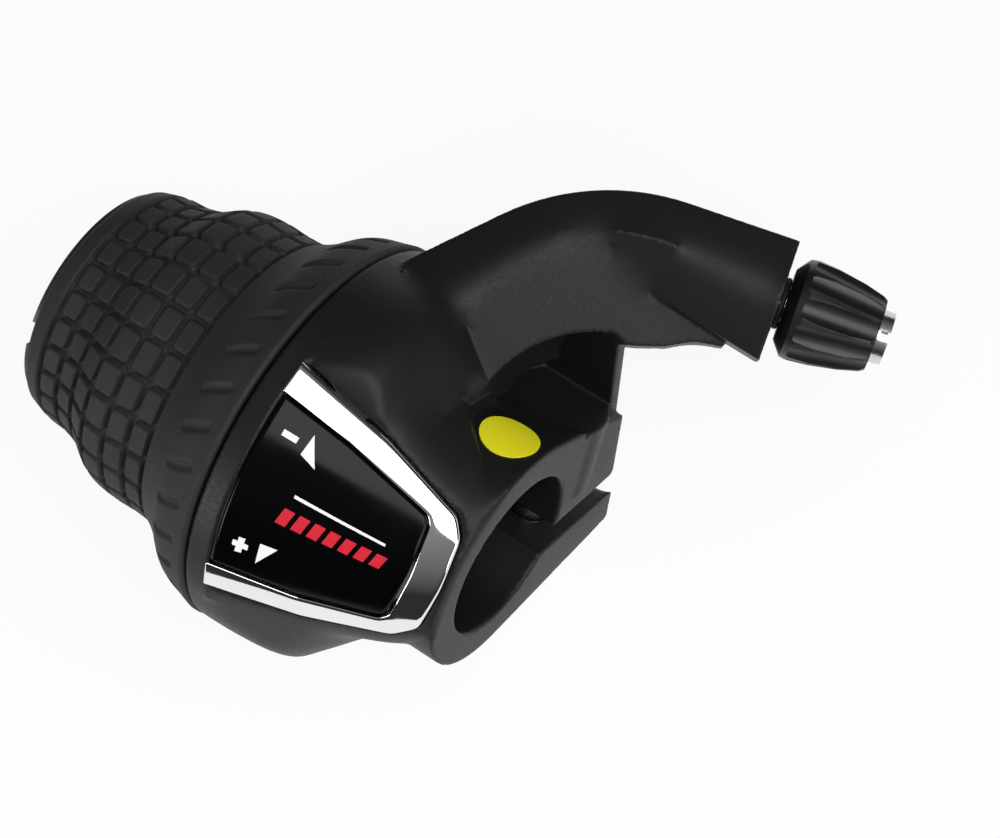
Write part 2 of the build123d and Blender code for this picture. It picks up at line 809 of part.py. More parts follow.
with BuildPart() as adjuster_insert:
    with BuildSketch(adjuster_plane):
        Circle(insert_r)
        Circle(thread_r + thread_fit, mode=Mode.SUBTRACT)
    extrude(amount=-insert_len)

with BuildPart() as adjuster_bolt:
    with BuildSketch(adjuster_section):
        with BuildLine():
            Polyline(
                (-thread_in, cable_r),
                (-thread_in, thread_r - thread_lead),
                (thread_lead - thread_in, thread_r),
                (knob_gap, thread_r),
                (knob_gap, barrel_r),
                (barrel_end, barrel_r),
                (barrel_end, casing_r),
                (barrel_end - casing_depth, casing_r),
                (barrel_end - casing_depth, cable_r),
                close=True,
            )
        make_face()
    revolve(axis=adjuster_axis)
    with BuildSketch(adjuster_plane.offset(barrel_end)):
        with PolarLocations(barrel_r, barrel_notches):
            Rectangle(barrel_r, barrel_notch_w)
    extrude(amount=-barrel_notch_deep, mode=Mode.SUBTRACT)

with BuildPart() as adjuster_knob:
    with BuildSketch(adjuster_section):
        with BuildLine():
            Polyline(
                (knob_gap, barrel_r),
                *[(knob_gap + along, r) for along, r in knob_profile],
                (knob_gap + knob_len, barrel_r),
                close=True,
            )
        make_face()
    revolve(axis=adjuster_axis)
    for flute in range(knob_flutes):
        turn = radians(360.0 * flute / knob_flutes)
        spoke = adjuster_plane.x_dir * cos(turn) + adjuster_plane.y_dir * sin(turn)
        ends = []
        for along, r in (knob_profile[2], knob_profile[-2]):
            ends.append(arm_end_point + adjuster_dir * (knob_gap + along) + spoke * (r + flute_r - flute_deep))
        with BuildSketch(Plane(origin=ends[0], z_dir=ends[1] - ends[0])):
            Circle(flute_r)
        extrude(amount=reach, mode=Mode.SUBTRACT)

with BuildPart() as adjuster_oring:
    with BuildSketch(adjuster_section):
        with Locations((knob_gap / 2, thread_r + run_fit + oring_r)):
            Circle(oring_r)
    revolve(axis=adjuster_axis)

with BuildPart() as round_label:
    with BuildSketch(clamp_plane(bore_out_x)):
        for mode in (Mode.ADD, Mode.SUBTRACT):
            Circle(ring_r, mode=mode)
            with BuildLine():
                Polyline((0, 0), upper_tangent, upper_tip, close=True)
            make_face(mode=mode)
            if mode == Mode.ADD:
                offset(amount=label_t)
    extrude(amount=clamp_len)
    with BuildSketch(label_plane.offset(-label_r)):
        Circle(label_r)
    extrude(amount=2 * label_r, mode=Mode.INTERSECT)

for piece, name in (
    (housing, "housing"),
    (bezel, "indicator_bezel"),
    (lens, "indicator_lens"),
    (clamp_bolt, "clamp_bolt"),
    (clamp_washer, "clamp_washer"),
    (clamp_nut, "clamp_nut"),
    (disc_spring, "disc_spring"),
    (friction_plate, "friction_plate"),
    (friction_lining, "friction_lining"),
    (cable_drum, "cable_drum"),
    (grip_tube, "grip_tube"),
    (thrust_washer, "thrust_washer"),
    (retaining_ring, "retaining_ring"),
    (rubber_grip, "rubber_grip"),
    (cable_guide, "cable_guide"),
    (adjuster_insert, "adjuster_insert"),
    (adjuster_bolt, "adjuster_bolt"),
    (adjuster_knob, "adjuster_knob"),
    (adjuster_oring, "adjuster_oring"),
    (round_label, "round_label"),
):
    piece.part.label = name
    export_step(piece.part, f"parts/{name}.step")
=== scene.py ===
import math

import bmesh
import bpy
import numpy as np
from mathutils import Euler, Matrix, Vector
from mathutils.kdtree import KDTree


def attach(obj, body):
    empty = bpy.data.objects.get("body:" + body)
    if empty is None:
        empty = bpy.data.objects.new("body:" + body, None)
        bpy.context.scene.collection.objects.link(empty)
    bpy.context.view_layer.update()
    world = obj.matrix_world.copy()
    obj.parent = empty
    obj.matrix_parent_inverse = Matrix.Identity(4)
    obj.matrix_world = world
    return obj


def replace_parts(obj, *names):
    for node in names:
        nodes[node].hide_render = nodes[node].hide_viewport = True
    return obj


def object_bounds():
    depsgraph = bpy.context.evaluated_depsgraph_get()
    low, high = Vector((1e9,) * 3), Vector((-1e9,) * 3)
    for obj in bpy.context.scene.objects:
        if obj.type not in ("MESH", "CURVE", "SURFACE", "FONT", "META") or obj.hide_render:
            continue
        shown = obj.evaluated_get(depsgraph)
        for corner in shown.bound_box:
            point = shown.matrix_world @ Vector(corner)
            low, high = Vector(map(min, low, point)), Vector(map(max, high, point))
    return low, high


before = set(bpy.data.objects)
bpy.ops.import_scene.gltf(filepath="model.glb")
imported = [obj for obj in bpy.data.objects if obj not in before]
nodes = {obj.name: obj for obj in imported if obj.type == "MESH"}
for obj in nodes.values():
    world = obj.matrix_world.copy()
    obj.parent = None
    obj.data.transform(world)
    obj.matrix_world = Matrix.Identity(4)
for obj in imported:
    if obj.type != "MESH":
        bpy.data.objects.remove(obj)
cad_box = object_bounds()
# Sizes and places below are in millimetres, Blender's are in metres
MM = 0.001

# Finishes: where most values of a noise lie, and how much of the grain's depth shows
noise_low = 0.3
noise_high = 0.7
grain_strength = 0.6


def linear(hex_colour):
    """Linear RGBA of an sRGB hex colour."""
    parts = [int(hex_colour[i : i + 2], 16) / 255 for i in (1, 3, 5)]
    return (*[c / 12.92 if c <= 0.04045 else ((c + 0.055) / 1.055) ** 2.4 for c in parts], 1.0)


def add_node(tree, kind, inputs=None, **settings):
    """Adds a shader node; an input that is a socket is linked, any other value is set on it."""
    made = tree.nodes.new(kind)
    for name, value in settings.items():
        setattr(made, name, value)
    for key, value in (inputs or {}).items():
        if isinstance(value, bpy.types.NodeSocket):
            tree.links.new(value, made.inputs[key])
        else:
            made.inputs[key].default_value = value
    return made


def surface(name, dark, light, rough, patch_mm, grain_mm, depth_mm, metallic=0.0, specular=0.5):
    """A finish whose colour drifts between two shades over patches, with a fine grain in gloss and bump.

    rough is the range of roughness over the grain; patch_mm and grain_mm are the sizes of drift and grain.
    A real grain of a tenth of a millimetre or less is drawn coarser, as coarse as it needs to show.
    """
    made = bpy.data.materials.new(name)
    made.use_nodes = True
    tree = made.node_tree
    shader = tree.nodes["Principled BSDF"]
    shader.inputs["Metallic"].default_value = metallic
    shader.inputs["Specular IOR Level"].default_value = specular
    place = add_node(tree, "ShaderNodeTexCoord").outputs["Object"]
    patch = add_node(
        tree, "ShaderNodeTexNoise", {"Vector": place, "Scale": 1 / (patch_mm * MM), "Detail": 3.0}
    ).outputs["Fac"]
    grain = add_node(
        tree, "ShaderNodeTexNoise", {"Vector": place, "Scale": 1 / (grain_mm * MM), "Detail": 2.0}
    ).outputs["Fac"]
    colour = add_node(
        tree, "ShaderNodeMix", {0: patch, 6: linear(dark), 7: linear(light)}, data_type="RGBA"
    ).outputs[2]
    tree.links.new(colour, shader.inputs["Base Color"])
    dull = add_node(
        tree,
        "ShaderNodeMapRange",
        {
            "Value": grain,
            "From Min": noise_low,
            "From Max": noise_high,
            "To Min": rough[0],
            "To Max": rough[1],
        },
    ).outputs[0]
    tree.links.new(dull, shader.inputs["Roughness"])
    relief = add_node(
        tree, "ShaderNodeBump", {"Height": grain, "Strength": grain_strength, "Distance": depth_mm * MM}
    ).outputs["Normal"]
    tree.links.new(relief, shader.inputs["Normal"])
    return made


# Moulded nylon: near black, its fine spark-eroded grain spreads the light into soft grey
nylon = surface(
    "satin_black_nylon", "#121314", "#18191a", rough=(0.42, 0.54),
    patch_mm=9.0, grain_mm=0.35, depth_mm=0.012, specular=0.27,
)
# Moulded acetal: the same black, smoother, so the knob's flutes catch narrow highlights
acetal = surface(
    "smooth_black_acetal", "#111213", "#161718", rough=(0.30, 0.38),
    patch_mm=7.0, grain_mm=0.3, depth_mm=0.006, specular=0.38,
)
# Moulded grip rubber: dull charcoal, dusted and a little uneven
rubber = surface(
    "charcoal_grip_rubber", "#1e1f20", "#282929", rough=(0.62, 0.80),
    patch_mm=5.0, grain_mm=0.25, depth_mm=0.02, specular=0.4,
)
# Polished lens plastic: jet black with faint smears in its gloss
gloss = surface(
    "polished_black_lens", "#030304", "#060607", rough=(0.10, 0.17),
    patch_mm=12.0, grain_mm=6.0, depth_mm=0.002, specular=0.13,
)
# Chrome plating on moulded plastic: a bright mirror with faint waves
chrome = surface(
    "bright_chrome_plating", "#e4e6e9", "#f0f1f3", rough=(0.03, 0.08),
    patch_mm=8.0, grain_mm=4.0, depth_mm=0.004, metallic=1.0,
)
# Zinc plated steel: cool grey metal, softly glinting
zinc = surface(
    "zinc_plated_steel", "#a4a8ad", "#c2c5c9", rough=(0.22, 0.36),
    patch_mm=3.0, grain_mm=0.4, depth_mm=0.006, metallic=1.0,
)
# Oiled spring steel: a darker metal than the zinc
spring = surface(
    "oiled_spring_steel", "#6d7074", "#83868a", rough=(0.25, 0.40),
    patch_mm=3.0, grain_mm=0.4, depth_mm=0.006, metallic=1.0,
)
# Pressed fibre of the friction lining: rough, dry and brown
fibre = surface(
    "pressed_brown_fibre", "#5a4632", "#76603f", rough=(0.75, 0.95),
    patch_mm=1.2, grain_mm=0.3, depth_mm=0.04,
)
# Moulded running plastic of drum and tube: plain black with a slight sheen
running = surface(
    "black_running_plastic", "#1a1b1c", "#222324", rough=(0.34, 0.46),
    patch_mm=8.0, grain_mm=0.4, depth_mm=0.008,
)
# Extruded cable liner: milky and slippery
liner = surface(
    "milky_cable_liner", "#d9dad4", "#e6e6e0", rough=(0.35, 0.45),
    patch_mm=4.0, grain_mm=0.5, depth_mm=0.005,
)
# Turned brass of the threaded insert: a warm yellow metal
brass = surface(
    "turned_brass", "#b58f45", "#c9a257", rough=(0.20, 0.34),
    patch_mm=2.0, grain_mm=0.3, depth_mm=0.005, metallic=1.0,
)
# Turned aluminium of the barrel: pale, with a soft sheen
aluminium = surface(
    "turned_aluminium", "#c6c8ca", "#dcdddf", rough=(0.16, 0.28),
    patch_mm=2.0, grain_mm=0.25, depth_mm=0.008, metallic=1.0,
)
# Moulded seal rubber: dull black
seal = surface(
    "black_seal_rubber", "#121212", "#1a1a1a", rough=(0.55, 0.70),
    patch_mm=2.0, grain_mm=0.2, depth_mm=0.01,
)
# Vinyl of the label: clear satin yellow
vinyl = surface(
    "yellow_label_vinyl", "#fdf31c", "#fff82e", rough=(0.30, 0.42),
    patch_mm=3.0, grain_mm=0.4, depth_mm=0.004,
)
# Printing inks on the lens: opaque and satin
white_ink = surface(
    "white_print_ink", "#f2f2f0", "#fafaf8", rough=(0.40, 0.55),
    patch_mm=2.0, grain_mm=0.15, depth_mm=0.004,
)
red_ink = surface(
    "red_print_ink", "#c8182c", "#dd2236", rough=(0.40, 0.55),
    patch_mm=2.0, grain_mm=0.15, depth_mm=0.004,
)

finishes = {
    "housing": nylon,
    "indicator_bezel": chrome,
    "indicator_lens": gloss,
    "clamp_bolt": zinc,
    "clamp_washer": zinc,
    "clamp_nut": zinc,
    "disc_spring": spring,
    "friction_plate": spring,
    "friction_lining": fibre,
    "cable_drum": running,
    "grip_tube": running,
    "thrust_washer": zinc,
    "retaining_ring": spring,
    "rubber_grip": rubber,
    "cable_guide": liner,
    "adjuster_insert": brass,
    "adjuster_bolt": aluminium,
    "adjuster_knob": acetal,
    "adjuster_oring": seal,
    "round_label": vinyl,
}
for name, finish in finishes.items():
    nodes[name].data.materials.clear()
    nodes[name].data.materials.append(finish)


def make_piece(name, mesh, finish, body):
    """A smooth mesh piece that rides on a body and takes the finish it is given."""
    mesh.materials.clear()
    mesh.materials.append(finish)
    mesh.shade_smooth()
    piece = bpy.data.objects.new(name, mesh)
    bpy.context.scene.collection.objects.link(piece)
    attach(piece, body)
    return piece


def mesh_of(name, points_mm, faces):
    """A mesh from points in millimetres."""
    mesh = bpy.data.meshes.new(name)
    mesh.from_pydata((np.asarray(points_mm, float) * MM).tolist(), [], np.asarray(faces).tolist())
    mesh.update()
    return mesh


def grid_faces(rows, cols, closed):
    """Quads of a rows x cols grid, joined round both ways if closed."""
    open_ends = 0 if closed else 1
    i, j = np.meshgrid(np.arange(rows - open_ends), np.arange(cols - open_ends), indexing="ij")
    a, b = (i + 1) % rows, (j + 1) % cols
    return np.stack([i * cols + j, i * cols + b, a * cols + b, a * cols + j], -1).reshape(-1, 4)


def around_bar(x, r, turn):
    """Points at places along the bar, radii from its middle and angles round it from the top."""
    return np.stack([x, r * np.sin(turn), r * np.cos(turn)], -1).reshape(-1, 3)


def ease(low, high, value):
    """Smooth step from 0 at low to 1 at high."""
    s = np.clip((value - low) / (high - low), 0.0, 1.0)
    return s * s * (3 - 2 * s)


def smooth_profile(x, knots_x, knots_r):
    """Radii at x of a smooth curve through the knots."""
    slopes = np.gradient(knots_r, knots_x)
    span = np.clip(np.searchsorted(knots_x, x, side="right") - 1, 0, len(knots_x) - 2)
    x0, x1 = np.take(knots_x, span), np.take(knots_x, span + 1)
    s = (x - x0) / (x1 - x0)
    return (
        (2 * s**3 - 3 * s**2 + 1) * np.take(knots_r, span)
        + (s**3 - 2 * s**2 + s) * (x1 - x0) * slopes[span]
        + (3 * s**2 - 2 * s**3) * np.take(knots_r, span + 1)
        + (s**3 - s**2) * (x1 - x0) * slopes[span + 1]
    )


def round_box(u, v, half_u, half_v, corner):
    """Signed distance to a rectangle with rounded corners."""
    qu, qv = np.abs(u) - half_u + corner, np.abs(v) - half_v + corner
    return np.hypot(np.maximum(qu, 0), np.maximum(qv, 0)) + np.minimum(np.maximum(qu, qv), 0) - corner


# Rubber cover: a smooth waist and flare with softened ends
cover_end = -63.9
cover_rim = -29.8
pad_edges = np.array([-61.0, -57.9, -54.8, -51.3, -47.6, -44.2, -41.0])
cover_x = [cover_end, *pad_edges, -38.0, -35.0, -31.5, cover_rim]
cover_r = [15.75, 16.6, 16.9, 17.8, 19.9, 20.5, 20.45, 20.8, 22.5, 25.0, 26.2, 26.7]
end_round = 0.3
end_round_x = (-63.5, cover_end)
rim_round = 0.45
rim_round_x = (-30.3, cover_rim)
# Inside of the cover: the flare's lip, the bore on the tube and the seat of the tube's collar
lip_x = -31.2
lip_r = 24.4
tube_r = 14.2
collar_x = -61.7
collar_r = 15.0
inside_x = np.array([cover_rim, lip_x, lip_x, collar_x, collar_x, cover_end])
inside_r = np.array([lip_r, lip_r, tube_r, tube_r, collar_r, collar_r])
# Pads of the cover: rounded fields between moulded grooves with sloped walls
pad_rows = 26
pad_first_deg = -2.5
pad_depth = 0.85
pad_corner = 0.5
groove = 0.85
groove_wall = (-0.06, 0.2)
pads_start = (-61.45, -61.3)
pads_stop = (-40.55, -40.7)
# Marks sunk into the flange, each slanted
mark_x = -33.9
mark_pitch_deg = 12.0
mark_first_deg = -172.0
mark_half_length = 2.1
mark_half_width = 0.62
mark_corner = 0.6
mark_slant = 0.5
mark_depth = 0.4
mark_wall = (0.12, -0.22)
# Rows of the cover's mesh lie close together at edges and groove walls
steps_per_row = 24
end_rows = [cover_end, -63.8, -63.5, -63.0, -62.3, -61.7, -61.5, -61.35, -61.2, -61.1]
pad_shares = np.array([0, 0.05, 0.09, 0.125, 0.16, 0.2, 0.28, 0.42, 0.58, 0.72, 0.8, 0.84, 0.875, 0.91, 0.95])
pad_end_rows = [-41.0, -40.85, -40.7, -40.55, -40.4]
flare_rows = np.linspace(-40.1, -30.3, 34)
rim_rows = [-30.1, -29.9, cover_rim]

outer_x = np.concatenate(
    [end_rows]
    + [low + pad_shares * (high - low) for low, high in zip(pad_edges, pad_edges[1:])]
    + [pad_end_rows, flare_rows, rim_rows]
)
outer_r = smooth_profile(outer_x, cover_x, cover_r)
outer_r -= rim_round * ease(*rim_round_x, outer_x) ** 2 + end_round * ease(*end_round_x, outer_x) ** 2
row_turn = 2 * math.pi / pad_rows
steps_round = pad_rows * steps_per_row
turns = np.radians(pad_first_deg) + np.arange(steps_round) * (2 * math.pi / steps_round)
column = np.clip(np.searchsorted(pad_edges, outer_x, side="right") - 1, 0, len(pad_edges) - 2)
half_u = (pad_edges[column + 1] - pad_edges[column]) / 2
half_v = (row_turn / 2 * outer_r)[:, None]
along = (outer_x - pad_edges[column] - half_u)[:, None]
across = ((turns - turns[0]) % row_turn - row_turn / 2)[None, :] * outer_r[:, None]
off_pad = round_box(along, across, half_u[:, None] - groove / 2, half_v - groove / 2, pad_corner)
sunk = pad_depth * ease(*groove_wall, off_pad)
sunk *= (ease(*pads_start, outer_x) * ease(*pads_stop, outer_x))[:, None]
mark_turn = np.radians(mark_pitch_deg)
swing = (turns - np.radians(mark_first_deg) + mark_turn / 2) % mark_turn - mark_turn / 2
mark_along = (outer_x - mark_x)[:, None]
mark_across = swing[None, :] * outer_r[:, None] - mark_slant * mark_along
off_mark = round_box(mark_along, mark_across, mark_half_length, mark_half_width, mark_corner)
sunk += mark_depth * ease(*mark_wall, off_mark)
rows_x = np.repeat(np.concatenate([outer_x, inside_x])[:, None], steps_round, axis=1)
rows_r = np.concatenate([outer_r[:, None] - sunk, np.repeat(inside_r[:, None], steps_round, axis=1)])
cover_faces = grid_faces(*rows_r.shape, True)[:, ::-1]
cover = mesh_of("grip_cover", around_bar(rows_x, rows_r, turns), cover_faces)
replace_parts(make_piece("grip_cover", cover, rubber, "grip"), "rubber_grip")

# Indicator panel: a plated frame and a lens, both on a cone that narrows from the grip to the clamp
panel_x = -26.0
panel_r = 27.0
panel_slope = 0.43
panel_t = 1.6
panel_mid_x = -14.0
panel_mid_deg = -25.0
# Outlines of frame and lens, drawn on the plane that touches the cone in the panel's middle
frame_outline = np.array(
    [
        (-17.0, 18.6),
        (2.3, 12.3),
        (13.0, 7.6),
        (14.4, 5.4),
        (14.6, -1.2),
        (14.2, -7.8),
        (11.6, -10.6),
        (0.8, -13.4),
        (-17.0, -14.6),
    ]
)
lens_outline = np.array(
    [
        (-17.0, 14.6),
        (-2.0, 10.7),
        (9.6, 6.7),
        (10.4, 5.6),
        (10.6, -1.0),
        (10.3, -7.4),
        (9.2, -8.6),
        (-0.8, -10.4),
        (-17.0, -10.6),
    ]
)
# Drawing them: rounds of the search for the cone, spacing of places, cuts of an end, passes at corners
cone_rounds = 8
outline_step = 0.4
end_cuts = 60
corner_passes = 4
# Frame: rounded edges, and a slight crown between them
frame_inner_edge = 0.2
frame_outer_edge = 0.45
frame_crown = 0.08
edge_arc = np.radians(np.linspace(0, 90, 6))
crown_shares = (0.2, 0.35, 0.5, 0.65, 0.8)
# Lens: sunk below the frame, its edge rolled down
lens_drop = 0.35
lens_roll = 0.4
lens_roll_w = 0.9
# Grid of the lens: cuts each way, the gap at its tip and the length that counts as its front edge
lens_cuts = 90
lens_tip_gap = 0.02
lens_front = 2.0

tilt = math.hypot(1.0, panel_slope)
panel_out = np.array([0.0, math.sin(math.radians(panel_mid_deg)), math.cos(math.radians(panel_mid_deg))])
panel_up = (np.array([panel_slope, 0.0, 0.0]) + panel_out) / tilt
panel_along = (np.array([1.0, 0.0, 0.0]) - panel_slope * panel_out) / tilt
panel_aside = np.cross(panel_up, panel_along)


def cone_radius(x):
    """Radius of the panel's cone at places along the bar."""
    return panel_r - panel_slope * (x - panel_x)


panel_middle = np.array([panel_mid_x, 0.0, 0.0]) + panel_out * cone_radius(panel_mid_x)


def on_panel(places, drop):
    """Points of the panel's cone, sunk by drop, under places drawn on the tilted plane of its outline."""
    points = panel_middle + places @ np.stack([panel_along, panel_aside])
    for _ in range(cone_rounds):
        r = np.hypot(points[:, 1], points[:, 2])
        short = cone_radius(points[:, 0]) - drop - r
        gain = points[:, 1:] @ panel_up[1:] / r + panel_slope * panel_up[0]
        points = points + (short / gain)[:, None] * panel_up
    return points


outline_steps = [
    max(3, round(math.dist(a, b) / outline_step)) for a, b in zip(frame_outline, frame_outline[1:])
]


def outline_places(outline):
    """Places along an outline, from the panel's start round to it again, with softly rounded corners."""
    corners = outline.copy()
    for end, before in ((0, 1), (-1, -2)):
        line = corners[end] + (corners[before] - corners[end]) * np.linspace(0, 1, end_cuts)[:, None]
        line_x = on_panel(line, 0.0)[:, 0]
        corners[end] = [np.interp(panel_x, line_x, line[:, k]) for k in (0, 1)]
    places = np.concatenate(
        [
            a + (b - a) * np.linspace(0, 1, steps, endpoint=False)[:, None]
            for a, b, steps in zip(corners, corners[1:], outline_steps)
        ]
        + [corners[-1:]]
    )
    for _ in range(corner_passes):
        places[1:-1] = (places[:-2] + 2 * places[1:-1] + places[2:]) / 4
    return places


outer = outline_places(frame_outline)
inner = outline_places(lens_outline)
frame_w = np.linalg.norm(outer - inner, axis=1)
at_inner = np.zeros_like(frame_w)
section = [(at_inner, panel_t)]
section += [
    (at_inner + frame_inner_edge * (1 - math.cos(a)), frame_inner_edge * (1 - math.sin(a)))
    for a in edge_arc
]
section += [(share * frame_w, 0.0) for share in crown_shares]
section += [
    (frame_w - frame_outer_edge * (1 - math.cos(a)), frame_outer_edge * (1 - math.sin(a)))
    for a in edge_arc[::-1]
]
section += [(frame_w, panel_t)]
frame_points = []
for from_inner, drop in section:
    frame_share = from_inner / frame_w
    places = inner + (outer - inner) * frame_share[:, None]
    drops = drop + frame_crown * (2 * frame_share - 1) ** 2
    # Both ends of each row are doubled and sunk to the frame's foot, which closes its ends
    places = np.pad(places, ((1, 1), (0, 0)), mode="edge")
    drops = np.pad(drops, 1, constant_values=panel_t)
    frame_points.append(on_panel(places, drops))
frame_faces = grid_faces(len(section), len(outer) + 2, False)
plating = mesh_of("panel_frame", np.concatenate(frame_points), frame_faces)
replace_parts(make_piece("panel_frame", plating, chrome, "body"), "indicator_bezel")

# Lens: a grid along the bar and round it, between the two sides of the frame's opening
rim = on_panel(inner, lens_drop)
rim_x = rim[:, 0]
rim_deg = np.degrees(np.arctan2(rim[:, 1], rim[:, 2]))
tip = rim_x.argmax()
spread = (1 - np.cos(np.pi * np.linspace(0, 1, lens_cuts))) / 2
lens_x = panel_x + (rim_x[tip] - lens_tip_gap - panel_x) * spread[:, None]
high_deg = np.interp(lens_x, rim_x[: tip + 1], rim_deg[: tip + 1])
low_deg = np.interp(lens_x, rim_x[tip:][::-1], rim_deg[tip:][::-1])
lens_deg = low_deg + (high_deg - low_deg) * spread
around_mm = np.radians(np.minimum(lens_deg - low_deg, high_deg - lens_deg)) * cone_radius(lens_x)
front = rim_x > rim_x[tip] - lens_front
order = np.argsort(rim_deg[front])
ahead_mm = np.interp(lens_deg, rim_deg[front][order], rim_x[front][order]) - lens_x
to_edge = np.minimum(np.minimum(around_mm, np.abs(ahead_mm)), lens_x - panel_x)
lens_sunk = lens_drop + lens_roll * (1 - ease(0.0, lens_roll_w, to_edge)) ** 2
# The grid's border is doubled and sunk to the panel's foot, which gives the lens its sides
lens_x = np.pad(np.broadcast_to(lens_x, lens_deg.shape), 1, mode="edge")
lens_turn = np.radians(np.pad(lens_deg, 1, mode="edge"))
lens_r = cone_radius(lens_x) - np.pad(lens_sunk, 1, constant_values=panel_t)
lens_faces = grid_faces(*lens_x.shape, False)[:, ::-1]
window = mesh_of("lens_window", around_bar(lens_x, lens_r, lens_turn), lens_faces)
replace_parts(make_piece("lens_window", window, gloss, "body"), "indicator_lens")

# Housing: soft folds of the moulding flow into each other, while its cut edges keep a small radius
least_fold_deg = 6.0
hard_fold_deg = 52.0
fold_step = 0.5
blend_reach = (5.0, 0.6)
edge_keep = (0.2, 0.9)
blend_passes = 160
blend_share = 0.6
edge_passes = 2
edge_share = 0.5
# Only the outside is blended: clear of the bore, of the grip's side and of the scoop in front of the clamp
outside_r = 15.8
outside_x = -28.6
scoop_middle = np.array([0.3, 19.4, 0.8])
scoop_edge = (12.2, 14.0)
# The low step between the saddle and the cup is blended like a soft fold
step_ends = np.array([(-19.4, 21.3, 14.1), (-10.2, 38.5, 12.3)])
step_reach = 3.4
# A narrow recess lets the panel's frame stand clear of the moulding all round
panel_depth = 7.0
recess_drop = -0.3
recess_slope = 0.5
recess_in_slope = 2.0
recess_in = -1.0
recess_passes = 24
recess_share = 0.5
recess_inner_fade = (-0.3, 0.9)
# The recess runs out softly, further on the saddle's side of the panel
runout = 2.6
runout_more = 4.0
runout_fade = (1.0, 0.45)
saddle_side = (3.0, 8.0)
# Fills of the moulding: the wedge and ridge between saddle and arm, and the wall in front of the clamp boss
arm_fill = np.array(
    [
        (-13.18, 35.3, 13.2),
        (-6.03, 31.19, 8.73),
        (0.11, 35.43, 6.24),
        (-5.8, 38.6, 9.95),
        (-9.17, 38.78, 11.77),
    ]
)
arm_fill_down = np.array([-2.8, 0.9, -5.2])
ridge_fill = np.array(
    [
        (-13.02, 33.98, 12.88),
        (-13.98, 34.52, 13.48),
        (-12.91, 36.43, 13.25),
        (-11.85, 36.29, 12.67),
    ]
)
ridge_fill_down = np.array([-0.69, 0.23, -1.31])
wall_fill = np.array(
    [
        (-13.0, 23.15, -8.5),
        (-1.25, 23.15, -8.5),
        (-1.25, 27.43, -1.0),
        (-13.0, 27.43, -1.0),
    ]
)
wall_fill_in = np.array([0.0, -1.48, 0.84])
# Mesh of the housing: welded, cut into even cells without stray crumbs, and thinned at the end
weld_gap = 0.002
cell_depth = 8
cell_scale = 0.9
stray_share = 0.01
most_triangles = 150000


def block(name, corners, depth):
    """A solid between a flat outline and its copy moved by depth."""
    form = bmesh.new()
    for corner in (*corners, *(corners + depth)):
        form.verts.new(corner * MM)
    bmesh.ops.convex_hull(form, input=form.verts)
    mesh = bpy.data.meshes.new(name)
    form.to_mesh(mesh)
    form.free()
    made = bpy.data.objects.new(name, mesh)
    bpy.context.scene.collection.objects.link(made)
    return made


def settled(made):
    """The mesh that an object has after its modifiers."""
    return bpy.data.meshes.new_from_object(made.evaluated_get(bpy.context.evaluated_depsgraph_get()))


def fold_points(mesh):
    """Points along a mesh's folds: the soft ones, which are to be blended, and the hard ones, which stay."""
    soft, hard = [], []
    step_line = step_ends[1] - step_ends[0]
    form = bmesh.new()
    form.from_mesh(mesh)
    for edge in form.edges:
        if len(edge.link_faces) != 2:
            continue
        fold_deg = math.degrees(edge.calc_face_angle(0.0))
        if fold_deg < least_fold_deg:
            continue
        ends = [np.array(v.co) / MM for v in edge.verts]
        count = max(2, int(np.linalg.norm(ends[1] - ends[0]) / fold_step) + 1)
        for point in np.linspace(*ends, count):
            share = np.clip((point - step_ends[0]) @ step_line / (step_line @ step_line), 0.0, 1.0)
            on_step = np.linalg.norm(point - step_ends[0] - share * step_line) < step_reach
            kind = soft if fold_deg < hard_fold_deg or on_step else hard
            kind.append(point)
    form.free()
    return soft, hard


def nearest(points, places):
    """Distance in mm from each place to the nearest of the points."""
    tree = KDTree(len(points))
    for index, point in enumerate(points):
        tree.insert(point, index)
    tree.balance()
    return np.array([tree.find(place)[2] for place in places])


def off_outline(places, outline, no_zero=1e-12):
    """Distance of each place from an outline, less than zero inside it."""
    away, within = np.full(len(places), np.inf), np.zeros(len(places), bool)
    u, v = places.T
    for a, b in zip(outline, np.roll(outline, -1, axis=0)):
        share = np.clip((places - a) @ (b - a) / ((b - a) @ (b - a)), 0.0, 1.0)
        away = np.minimum(away, np.linalg.norm(places - a - share[:, None] * (b - a), axis=1))
        beside = (a[1] > v) != (b[1] > v)
        within ^= beside & (u < a[0] + (v - a[1]) / (b[1] - a[1] + no_zero) * (b[0] - a[0]))
    return np.where(within, -away, away)


draft = bpy.data.objects.new("draft", nodes["housing"].data.copy())
bpy.context.scene.collection.objects.link(draft)
draft.modifiers.new("joined", "WELD").merge_threshold = weld_gap * MM
fills = [
    block("arm_fill", arm_fill, arm_fill_down),
    block("ridge_fill", ridge_fill, ridge_fill_down),
    block("wall_fill", wall_fill, wall_fill_in),
]
for fill in fills:
    union = draft.modifiers.new(fill.name, "BOOLEAN")
    union.operation = "UNION"
    union.object = fill
whole = settled(draft)
draft.modifiers.clear()
draft.data = whole
cells = draft.modifiers.new("even_mesh", "REMESH")
cells.mode = "SHARP"
cells.octree_depth = cell_depth
cells.scale = cell_scale
cells.use_remove_disconnected = True
cells.threshold = stray_share
even = settled(draft)
for helper in (draft, *fills):
    bpy.data.objects.remove(helper)

spots = np.zeros(len(even.vertices) * 3, np.float32)
even.vertices.foreach_get("co", spots)
spots = spots.reshape(-1, 3).astype(float) / MM
pairs = np.zeros(len(even.edges) * 2, np.int32)
even.edges.foreach_get("vertices", pairs)
starts, stops = pairs.reshape(-1, 2).T
degree = np.bincount(pairs, minlength=len(spots))


